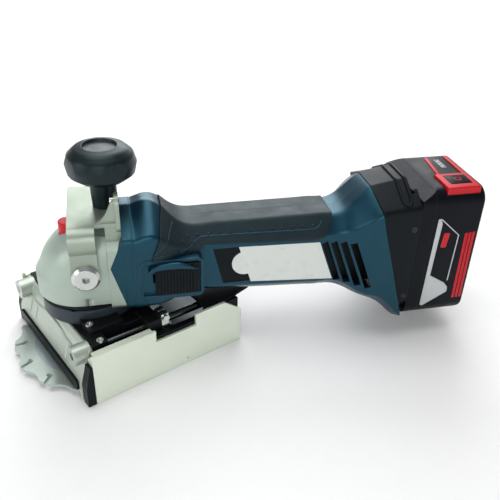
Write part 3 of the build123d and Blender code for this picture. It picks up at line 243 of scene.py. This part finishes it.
NODE_LOOKS = {
    "stainless": "side_plate_near side_plate_far",
    "zinc": "front_fence",
    "cast_alloy": "gear_case",
    # The sole plate takes this dark look partly for its own black paint and partly as painted shade for the
    # shadow that lies over it.
    "grey_alloy": "swivel_neck bearing_flange sole_plate",
    "dark_rod": "guide_rods",
    "bracket_steel": "knob_bracket",
    "bright_screw": "bracket_bolts ear_screws rod_clamps shoe_screws carriage_screws",
    "ground_steel": "spindle armature_shaft inner_flange knob_stud crown_gear pinion "
                    "spindle_bearings armature_bearings retaining_ring lock_spring motor_can",
    "blade_steel": "blade",
    "black_anodised": "carriage_block swivel_collar",
    "black_plastic": "rear_bridge side_rails corner_guards fence_strip side_insert slide_switch "
                     "switch_link switch_module battery_foot terminal_block fan brush_holder",
    "battery_plastic": "battery_front_shell battery_rear_shell",
    "grip_rubber": "grip_left grip_right",
    "blue_plastic": "housing_left housing_right motor_flange",
    "knob_plastic": "knob",
    "red_plastic": "lock_button release_button",
    "label": "label_plate",
    "black_screw": "housing_screws gear_case_screws blade_screws",
    "ferrite": "motor_magnets carbon_brushes",
    "circuit_board": "control_board",
    "laminations": "armature_core",
    "copper": "commutator",
    "cell_wrap": "battery_cells",
}


SMOOTH_ANGLE = 32


def smooth_group():
    """Geometry nodes that weld a CAD mesh and smooth it, but keep its hard edges hard."""
    group = bpy.data.node_groups.new("smooth_by_angle", "GeometryNodeTree")
    group.interface.new_socket("Geometry", in_out="INPUT", socket_type="NodeSocketGeometry")
    group.interface.new_socket("Geometry", in_out="OUTPUT", socket_type="NodeSocketGeometry")
    start = group.nodes.new("NodeGroupInput")
    end = group.nodes.new("NodeGroupOutput")
    strip = group.nodes.new("GeometryNodeRemoveAttribute")
    strip.inputs["Name"].default_value = "custom_normal"
    weld = group.nodes.new("GeometryNodeMergeByDistance")
    weld.inputs["Distance"].default_value = 2e-6
    faces = group.nodes.new("GeometryNodeSetShadeSmooth")
    edges = group.nodes.new("GeometryNodeSetShadeSmooth")
    edges.domain = "EDGE"
    angle = group.nodes.new("GeometryNodeInputMeshEdgeAngle")
    small = group.nodes.new("FunctionNodeCompare")
    small.operation = "LESS_THAN"
    small.inputs["B"].default_value = math.radians(SMOOTH_ANGLE)
    group.links.new(angle.outputs["Unsigned Angle"], small.inputs["A"])
    group.links.new(small.outputs[0], edges.inputs["Shade Smooth"])
    chain = [start, strip, weld, faces, edges, end]
    for a, b in zip(chain, chain[1:]):
        group.links.new(a.outputs[0], b.inputs[0])
    return group


SMOOTH = smooth_group()


def smooth(obj):
    """Smooth shading for an object, with its mesh left as it is."""
    obj.modifiers.new("smooth_by_angle", "NODES").node_group = SMOOTH


for look, names in NODE_LOOKS.items():
    for name in names.split():
        slots = nodes[name].data.materials
        slots.clear()
        slots.append(MATERIALS[look])
        smooth(nodes[name])


# ---------------------------------------------------------------- building helpers

# The section of a bead, across and up, in shares of its half width and height.
BEAD_SECTION = [(-1.0, -0.4), (-0.9, 0.45), (-0.45, 0.9), (0.0, 1.0), (0.45, 0.9), (0.9, 0.45), (1.0, -0.4)]
BEVEL_ANGLE = 35
CORNER_STEPS = 4
BUMP_ROOT = 0.3
RAY_NUDGES = (0.0, 0.05, -0.05)


def add_piece(name, mesh, look, body):
    """A finished mesh, already in the row frame, as a piece that rides on a CAD body."""
    piece = bpy.data.objects.new(name, mesh)
    bpy.context.scene.collection.objects.link(piece)
    mesh.materials.append(MATERIALS[look])
    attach(piece, body)
    return piece


def mesh_from(name, points, faces, frame_matrix=HEAD):
    """A mesh from points in millimetres in a part's own frame."""
    mesh = bpy.data.meshes.new(name)
    mesh.from_pydata([frame_matrix @ Vector(p) for p in points], [], faces)
    bm = bmesh.new()
    bm.from_mesh(mesh)
    bmesh.ops.recalc_face_normals(bm, faces=bm.faces)
    bm.to_mesh(mesh)
    bm.free()
    return mesh


def band(first, second, count):
    """The faces between two closed rings of points, which start at the two numbers given."""
    steps = [(i, (i + 1) % count) for i in range(count)]
    return [(first + i, first + j, second + j, second + i) for i, j in steps]


def circle(centre, side, other, radius, count):
    """Points round a centre, in the plane of two directions."""
    turns = (2 * math.pi * k / count for k in range(count))
    return [centre + (side * math.cos(a) + other * math.sin(a)) * radius for a in turns]


def prism(name, rings, look, body, bevel=0.0):
    """A closed solid through rings of equal point counts, with both end rings filled."""
    count = len(rings[0])
    points = [p for ring in rings for p in ring]
    faces = [tuple(range(count)), tuple(range(len(points) - count, len(points)))]
    for k in range(len(rings) - 1):
        faces += band(k * count, (k + 1) * count, count)
    piece = add_piece(name, mesh_from(name, points, faces), look, body)
    if bevel:
        rounding = piece.modifiers.new("rounding", "BEVEL")
        rounding.width = bevel * MM
        rounding.segments = 2
        rounding.angle_limit = math.radians(BEVEL_ANGLE)
    smooth(piece)


def slab(name, outline, low, high, look, body, side="y", bevel=0.0):
    """An outline in x and z between two y values, or with side z in x and y between two z values."""
    if side == "y":
        rings = [[(x, level, z) for x, z in outline] for level in (low, high)]
    else:
        rings = [[(x, y, level) for x, y in outline] for level in (low, high)]
    prism(name, rings, look, body, bevel)


def joined(name, parts, look, body, frame_matrix=HEAD):
    """One piece from several (points, faces) lists in millimetres."""
    points, faces = [], []
    for part_points, part_faces in parts:
        start = len(points)
        points += part_points
        faces += [tuple(start + i for i in face) for face in part_faces]
    smooth(add_piece(name, mesh_from(name, points, faces, frame_matrix), look, body))


def surface_of(*names, frame_matrix=HEAD):
    """The CAD nodes' outside as a tree that rays can hit, in millimetres."""
    back = frame_matrix.inverted()
    points, faces = [], []
    for name in names:
        mesh = nodes[name].data
        start = len(points)
        points += [back @ v.co for v in mesh.vertices]
        faces += [tuple(start + i for i in face.vertices) for face in mesh.polygons]
    return BVHTree.FromPolygons(points, faces)


def drop(tree, origin, aim):
    """Where a ray meets the surface, and the surface's direction there.

    A ray that slips between two faces is tried again, a hair to each side."""
    aim = Vector(aim).normalized()
    for nudge in RAY_NUDGES:
        spot, normal, _, _ = tree.ray_cast(Vector(origin) + aim.orthogonal() * nudge, aim)
        if spot is not None:
            return spot, -normal if normal.dot(aim) > 0 else normal
    raise RuntimeError(f"no surface under {origin}")


def dome(spot, normal, radius, height, around=10, rings=3):
    """Points and faces of a low round bump on a surface."""
    side = normal.orthogonal().normalized()
    other = normal.cross(side)
    points = circle(spot - normal * BUMP_ROOT, side, other, radius, around)
    for ring in range(rings):
        lift = math.pi / 2 * (ring + 0.35) / rings
        level = spot + normal * height * math.sin(lift)
        points += circle(level, side, other, radius * math.cos(lift), around)
    points.append(spot + normal * height)

    faces = [tuple(range(around))]
    for ring in range(rings):
        faces += band(ring * around, (ring + 1) * around, around)
    last, tip = rings * around, len(points) - 1
    faces += [(last + i, last + (i + 1) % around, tip) for i in range(around)]
    return points, faces


def tube_ring(centre, radius, thickness, around=32, section=8):
    """Points and faces of a torus that lies flat."""
    x_way, y_way, up = Matrix.Identity(3)
    points, faces = [], []
    for i, middle in enumerate(circle(Vector(centre), x_way, y_way, radius, around)):
        out = (middle - Vector(centre)).normalized()
        points += circle(middle, out, up, thickness, section)
        faces += band(i * section, (i + 1) % around * section, section)
    return points, faces


def rounded_path(path, radius):
    """The path with each inner corner replaced by a short curve."""
    path = [Vector(p) for p in path]
    out = [path[0]]
    for before, corner, after in zip(path, path[1:], path[2:]):
        a = corner + (before - corner).normalized() * min(radius, (before - corner).length / 2)
        b = corner + (after - corner).normalized() * min(radius, (after - corner).length / 2)
        for k in range(CORNER_STEPS + 1):
            t = k / CORNER_STEPS
            out.append(a * (1 - t) ** 2 + corner * 2 * t * (1 - t) + b * t ** 2)
    out.append(path[-1])
    return out


def rounded_outline(corners, radius):
    """A closed outline with each corner rounded."""
    closed = [corners[-1], *corners, corners[0]]
    flat = rounded_path([(x, y, 0) for x, y in closed], radius)[1:-1]
    return [(p.x, p.y) for p in flat]


def rectangle(x0, y0, x1, y1):
    """The four corners of a rectangle."""
    return [(x0, y0), (x1, y0), (x1, y1), (x0, y1)]


def line_outline(path, half):
    """The outline of a thin line through a flat path, half its width to each side."""
    left, right = [], []
    for i, point in enumerate(path):
        here = Vector(point)
        ahead = (Vector(path[min(i + 1, len(path) - 1)]) - Vector(path[max(i - 1, 0)])).normalized()
        side = Vector((-ahead.y, ahead.x)) * half
        left.append(tuple(here + side))
        right.append(tuple(here - side))
    return left + right[::-1]


def resampled(path, step):
    """Points along a path, a step apart."""
    out, rest = [path[0]], step
    for a, b in zip(path, path[1:]):
        length = (b - a).length
        while length and rest <= length:
            a = a + (b - a) * (rest / length)
            length = (b - a).length
            out.append(a)
            rest = step
        rest -= length
    return out


def bead(tree, path, aim, half, height):
    """A raised bead that follows a path dropped on a surface: points and faces."""
    spots = [drop(tree, p, aim) for p in path]
    points = []
    for i, (spot, normal) in enumerate(spots):
        ahead = spots[min(i + 1, len(spots) - 1)][0] - spots[max(i - 1, 0)][0]
        side = ahead.cross(normal).normalized()
        points += [spot + side * (a * half) + normal * (b * height) for a, b in BEAD_SECTION]

    count = len(BEAD_SECTION)
    faces = [tuple(range(count)), tuple(range(len(points) - count, len(points)))]
    for i in range(len(spots) - 1):
        faces += band(i * count, (i + 1) * count, count)
    return points, faces


# ---------------------------------------------------------------- shoe details

# Rays start in front of the fence and slope down to it, so they land about 12 mm lower.
FENCE_AHEAD = -80
FENCE_AIM = (1, 0, -0.3)
FENCE_RIBS = (-40.0, -29.0, 29.0, 40.0)
RIB_ENDS = (35.0, 47.0)
FENCE_RAIL = [(-44.0, 48.0), (-24.0, 48.0), (-14.0, 51.0), (14.0, 51.0), (24.0, 48.0), (44.0, 48.0)]
FENCE_STEP = 1.5


def shoe_details():
    """The cast ribs on the sloping front of the fence, and the rail across their tops."""
    tree = surface_of("front_fence", frame_matrix=BASE)
    beads = []
    for y in FENCE_RIBS:
        path = [Vector((FENCE_AHEAD, y, z)) for z in RIB_ENDS]
        beads.append(bead(tree, resampled(path, FENCE_STEP), FENCE_AIM, 1.5, 1.0))
    rail = rounded_path([(FENCE_AHEAD, y, z) for y, z in FENCE_RAIL], 6)
    beads.append(bead(tree, resampled(rail, FENCE_STEP), FENCE_AIM, 1.4, 1.1))
    joined("fence_ribs", beads, "zinc", "shoe", frame_matrix=BASE)


# ---------------------------------------------------------------- grip details

OUTSIDE = 80
BUMP_PITCH = 8.0
BUMP_ROW = [(73.6 + BUMP_PITCH * k, 104.6) for k in range(13)]
BUMP_CLUSTER = [(69.9, 103.0), (77.5, 101.0), (65.9, 99.4), (73.5, 97.8), (69.2, 95.6)]
BUMP_RADIUS = 1.25
BUMP_HEIGHT = 0.8
GRIP_LINE = [(64, 114), (57, 106), (47.5, 98.4), (49, 97.2), (72, 97.4), (76, 99.2), (81.5, 103.2),
             (86, 103.8), (161, 102.6), (171, 102.6), (175, 104.4), (177.5, 107)]
GRIP_SCREW = (112.0, 102.0)
SCREW_CLEAR = 4.6


def side_drop(tree, side, x, z):
    """Where a ray from one side of the head meets the surface."""
    return drop(tree, (x, side * OUTSIDE, z), (0, -side, 0))


def clear_of_screw(x, z):
    """Whether a place keeps off the screw hole in the grip."""
    return math.hypot(x - GRIP_SCREW[0], z - GRIP_SCREW[1]) > SCREW_CLEAR


def clear_runs(path):
    """The path cut into runs that keep off the screw hole."""
    runs = [[]]
    for point in path:
        if clear_of_screw(point.x, point.z):
            runs[-1].append(point)
        elif runs[-1]:
            runs.append([])
    return [run for run in runs if len(run) > 1]


def grip_details():
    """Rows of small bumps, and the blue line that runs along the grip."""
    for side, name in ((-1, "left"), (1, "right")):
        tree = surface_of(f"grip_{name}", f"housing_{name}")
        spots = [side_drop(tree, side, x, z) for x, z in BUMP_ROW + BUMP_CLUSTER if clear_of_screw(x, z)]
        bumps = [dome(spot, normal, BUMP_RADIUS, BUMP_HEIGHT) for spot, normal in spots]
        joined(f"grip_bumps_{name}", bumps, "grip_rubber", "head")
        line = rounded_path([(x, side * OUTSIDE, z) for x, z in GRIP_LINE], 5)
        path = resampled(line, 1.5)
        runs = clear_runs(path) if side > 0 else [path]
        beads = [bead(tree, run, (0, -side, 0), 0.5, 0.4) for run in runs]
        joined(f"grip_line_{name}", beads, "blue_plastic", "head")


# ---------------------------------------------------------------- handle and foot details

HOOD = [(43.5, 86.5), (47, 90), (52, 92.2), (59, 93), (66, 92.2), (73, 90), (79.5, 86.8),
        (73, 87.6), (66, 88.4), (58, 88.6), (50, 88.0)]
HOOD_MIDDLE = 58
HOOD_TAPER = 0.02
HOOD_ROOT, HOOD_SHOULDER, HOOD_FACE = -33.2, -38.2, -39.2
VENT_SCREEN = [(176, 94), (207, 94), (223, 49), (190, 55)]
SCREEN_LEVELS = (21.4, 22.0)
HALF_LOOP = [(236.0, 0), (236.0, 30), (238.0, 35), (241.0, 35), (242.6, 30)]
LOOP_ABOVE = 200
FOOT_BOSSES = [(245.5, 102.5), (246.5, 40.8)]


def switch_hood():
    """The blue hood over the slide switch, drawn in a little at its face."""
    face = [(x + HOOD_TAPER * (HOOD_MIDDLE - x), HOOD_FACE, z - 0.5) for x, z in HOOD]
    rings = [[(x, level, z) for x, z in HOOD] for level in (HOOD_ROOT, HOOD_SHOULDER)]
    prism("switch_hood", [*rings, face], "blue_plastic", "head", bevel=0.3)


def handle_details():
    """The dark screens behind the vents, and the foot's raised loop and its bosses."""
    for side, name in SIDES:
        low, high = (side * level for level in SCREEN_LEVELS)
        slab(f"vent_screen_{name}", VENT_SCREEN, low, high, "black_plastic", "head")
    tree = surface_of("battery_foot", "housing_left", "housing_right")
    loop = HALF_LOOP + [(x, -y) for x, y in reversed(HALF_LOOP)]
    path = resampled(rounded_path([(x, y, LOOP_ABOVE) for x, y in loop], 2.5), 1.2)
    joined("foot_loop", [bead(tree, path, (0, 0, -1), 1.3, 1.5)], "black_plastic", "head")
    for side, name in SIDES:
        spots = [side_drop(tree, side, x, z) for x, z in FOOT_BOSSES]
        bosses = [dome(spot, normal, 2.3, 0.5, around=20, rings=2) for spot, normal in spots]
        joined(f"foot_bosses_{name}", bosses, "black_screw", "head")


# ---------------------------------------------------------------- battery details

PACK_FACE = 37.5
PACK_TOP = 132.0
FRAME_BAND = [(262.8, 29.5), (265.2, 28.6), (284.9, 40.3), (284.6, 44.8), (281.0, 49.4),
              (267.0, 58.0), (268.6, 105.4), (266.6, 110.0), (264.6, 109.4)]
FRAME_LINE = [(267.2, 109.4), (284.4, 94.0), (283.2, 51.6)]
PACK_TAG = [(270.6, 84), (275.4, 83.6), (276.6, 96.6), (271.8, 97)]
RIB_START, RIB_PITCH = 289.8, 3.05
RIB_BOTTOM, RIB_TOP = 33.0, 95.0
TRIM_LEFT, TRIM_RIGHT = -8.6, 25.0
TRIM_FRONT = [(277.6, TRIM_RIGHT), (280.2, TRIM_RIGHT), (276.0, TRIM_LEFT), (273.2, TRIM_LEFT)]
TRIM_REAR, TRIM_CREST = 294.6, 298.2
TRIM_WAVES = 5
TRIM_STEPS = 40
GAUGE = (284.6, 5.3, 287.8, 20.7)
BAR_PITCH, BAR_WIDTH = 4.6, 3.2
RELEASE_MIDDLE = (284.0, -20.5)
RELEASE_HALF = (8.8, 7.3)
RELEASE_TOP = 134.3


def pack_sides():
    """A pale frame, a tag and three red ribs on each side of the pack."""
    for side, name in SIDES:
        low, high = side * (PACK_FACE - 0.6), side * (PACK_FACE + 0.25)
        line = line_outline(FRAME_LINE, 0.45)
        slab(f"pack_frame_{name}", FRAME_BAND, low, high, "silver_print", "battery", bevel=0.1)
        slab(f"pack_line_{name}", line, low, high, "silver_print", "battery")
        slab(f"pack_tag_{name}", rounded_outline(PACK_TAG, 0.8), low, high, "red_plastic", "battery")
        low, high = side * (PACK_FACE - 0.8), side * (PACK_FACE + 0.3)
        for k in range(3):
            x, top = RIB_START + RIB_PITCH * k, RIB_TOP + 0.3 * k
            rib = [(x, top), (x + 2.5, top + 0.6), (x + 3.0, RIB_BOTTOM), (x + 0.6, RIB_BOTTOM + 0.6)]
            slab(f"pack_rib_{name}_{k + 1}", rib, low, high, "red_plastic", "battery", bevel=0.4)


def pack_trim():
    """Two red strips across the pack's top, the rear one with a wavy edge."""
    low, high = PACK_TOP - 0.5, PACK_TOP + 0.8
    slab("pack_trim_front", TRIM_FRONT, low, high, "red_plastic", "battery", side="z", bevel=0.3)
    shares = [k / TRIM_STEPS for k in range(TRIM_STEPS + 1)]
    wave = [(TRIM_CREST + 0.55 * math.cos(2 * math.pi * TRIM_WAVES * t),
             TRIM_RIGHT + (TRIM_LEFT - TRIM_RIGHT) * t) for t in shares]
    outline = [(TRIM_REAR, TRIM_RIGHT), *wave, (TRIM_REAR, TRIM_LEFT)]
    slab("pack_trim_rear", outline, low, high, "red_plastic", "battery", side="z")


def pack_gauge():
    """The charge gauge on the pack's top: a thin frame round three bars."""
    low, high = PACK_TOP - 0.2, PACK_TOP + 0.2
    x0, y0, x1, y1 = GAUGE
    edge = line_outline([*rectangle(*GAUGE), (x0, y0 + 0.01)], 0.3)
    slab("pack_gauge", edge, low, high, "silver_print", "battery", side="z")
    for k in range(3):
        start = y0 + 1.4 + BAR_PITCH * k
        bar = rectangle(x0 + 0.8, start, x1 - 0.8, start + BAR_WIDTH)
        slab(f"pack_gauge_bar_{k + 1}", bar, low, high, "silver_print", "battery", side="z")


def release_details():
    """A dark pad on the release button, with a red ring in its middle."""
    (x, y), (long, wide) = RELEASE_MIDDLE, RELEASE_HALF
    pad = rounded_outline(rectangle(x - long, y - wide, x + long, y + wide), 1.5)
    slab("release_pad", pad, RELEASE_TOP - 1.3, RELEASE_TOP, "battery_plastic", "release",
         side="z", bevel=0.4)
    joined("release_ring", [tube_ring((x, y, RELEASE_TOP), 2.4, 0.35)], "red_plastic", "release")


# ---------------------------------------------------------------- floor, light and camera

FLOOR_REACH = 12.0
FLOOR_GAP = 0.0002
# Name, place from the object's middle, width of the square and power.
LIGHTS = (
    ("top_light", (0.0, 0.2, 1.5), 1.2, 13),
    ("back_light", (0.85, 1.1, 0.95), 1.3, 21),
    ("front_light", (-0.9, -1.2, 0.75), 0.9, 7),
    ("left_light", (-1.3, 0.2, 0.55), 0.7, 4),
)
# The camera's place, its heading from +X, how far it looks down and its roll, in degrees.
EYE = (-157.9, -396.3, 343.1)
HEADING, LOOK_DOWN, ROLL = 51.52, 31.58, 1.97


def floor_paper():
    """Pale paper that glows away from the object, so that the far floor stays white."""
    pale = bpy.data.materials.new("floor_paper")
    pale.use_nodes = True
    tree = pale.node_tree
    shader = tree.nodes["Principled BSDF"]
    shader.inputs["Roughness"].default_value = 0.9
    shader.inputs["Specular IOR Level"].default_value = 0.2
    shader.inputs["Emission Color"].default_value = (1, 1, 1, 1)
    place = place_vector(tree)
    tree.links.new(mixed(tree, noise(tree, place, 60), (0.93, 0.93, 0.93), (0.96, 0.96, 0.96)),
                   shader.inputs["Base Color"])
    tree.links.new(ranged(tree, distance(tree, place), 0.5, 2.0, 0, 0.75),
                   shader.inputs["Emission Strength"])
    return pale


def floor():
    """A pale plain floor that reaches the horizon."""
    mesh = bpy.data.meshes.new("floor")
    corners = rectangle(-FLOOR_REACH, -FLOOR_REACH, FLOOR_REACH, FLOOR_REACH)
    mesh.from_pydata([(x, y, 0) for x, y in corners], [], [(0, 1, 2, 3)])
    mesh.materials.append(floor_paper())
    ground = bpy.data.objects.new("floor", mesh)
    ground.location.z = cad_box[0].z - FLOOR_GAP
    bpy.context.scene.collection.objects.link(ground)


def sky():
    """A white horizon, and a dimmer sky above it."""
    world = bpy.data.worlds.new("studio")
    world.use_nodes = True
    tree = world.node_tree
    backdrop = tree.nodes["Background"]
    backdrop.inputs["Color"].default_value = (0.97, 0.98, 1.0, 1)
    coord = tree.nodes.new("ShaderNodeTexCoord")
    split = tree.nodes.new("ShaderNodeSeparateXYZ")
    tree.links.new(coord.outputs["Generated"], split.inputs[0])
    tree.links.new(ranged(tree, split.outputs["Z"], 0.0, 0.16, 1.0, 0.25), backdrop.inputs["Strength"])
    bpy.context.scene.world = world


def lights():
    """Soft square lights from four sides, each turned to the object's middle."""
    centre = (cad_box[0] + cad_box[1]) / 2
    for name, place, size, power in LIGHTS:
        data = bpy.data.lights.new(name, "AREA")
        data.shape = "SQUARE"
        data.size = size
        data.energy = power
        lamp = bpy.data.objects.new(name, data)
        lamp.location = centre + Vector(place)
        lamp.rotation_mode = "QUATERNION"
        lamp.rotation_quaternion = Vector(place).to_track_quat("Z", "Y")
        bpy.context.scene.collection.objects.link(lamp)


def camera():
    """The view from the near left and above."""
    data = bpy.data.cameras.new("camera")
    data.lens = 46.47
    data.sensor_width = 36
    data.clip_start = 0.01
    eye = bpy.data.objects.new("camera", data)
    turn = Matrix.Translation(Vector(EYE) * MM)
    for angle, axis in ((HEADING - 90, "Z"), (90 - LOOK_DOWN, "X"), (ROLL, "Z")):
        turn = turn @ Matrix.Rotation(math.radians(angle), 4, axis)
    eye.matrix_world = turn
    bpy.context.scene.collection.objects.link(eye)
    bpy.context.scene.camera = eye


shoe_details()
grip_details()
switch_hood()
handle_details()
pack_sides()
pack_trim()
pack_gauge()
release_details()
floor()
sky()
lights()
camera()
bpy.context.scene.view_settings.view_transform = "Standard"
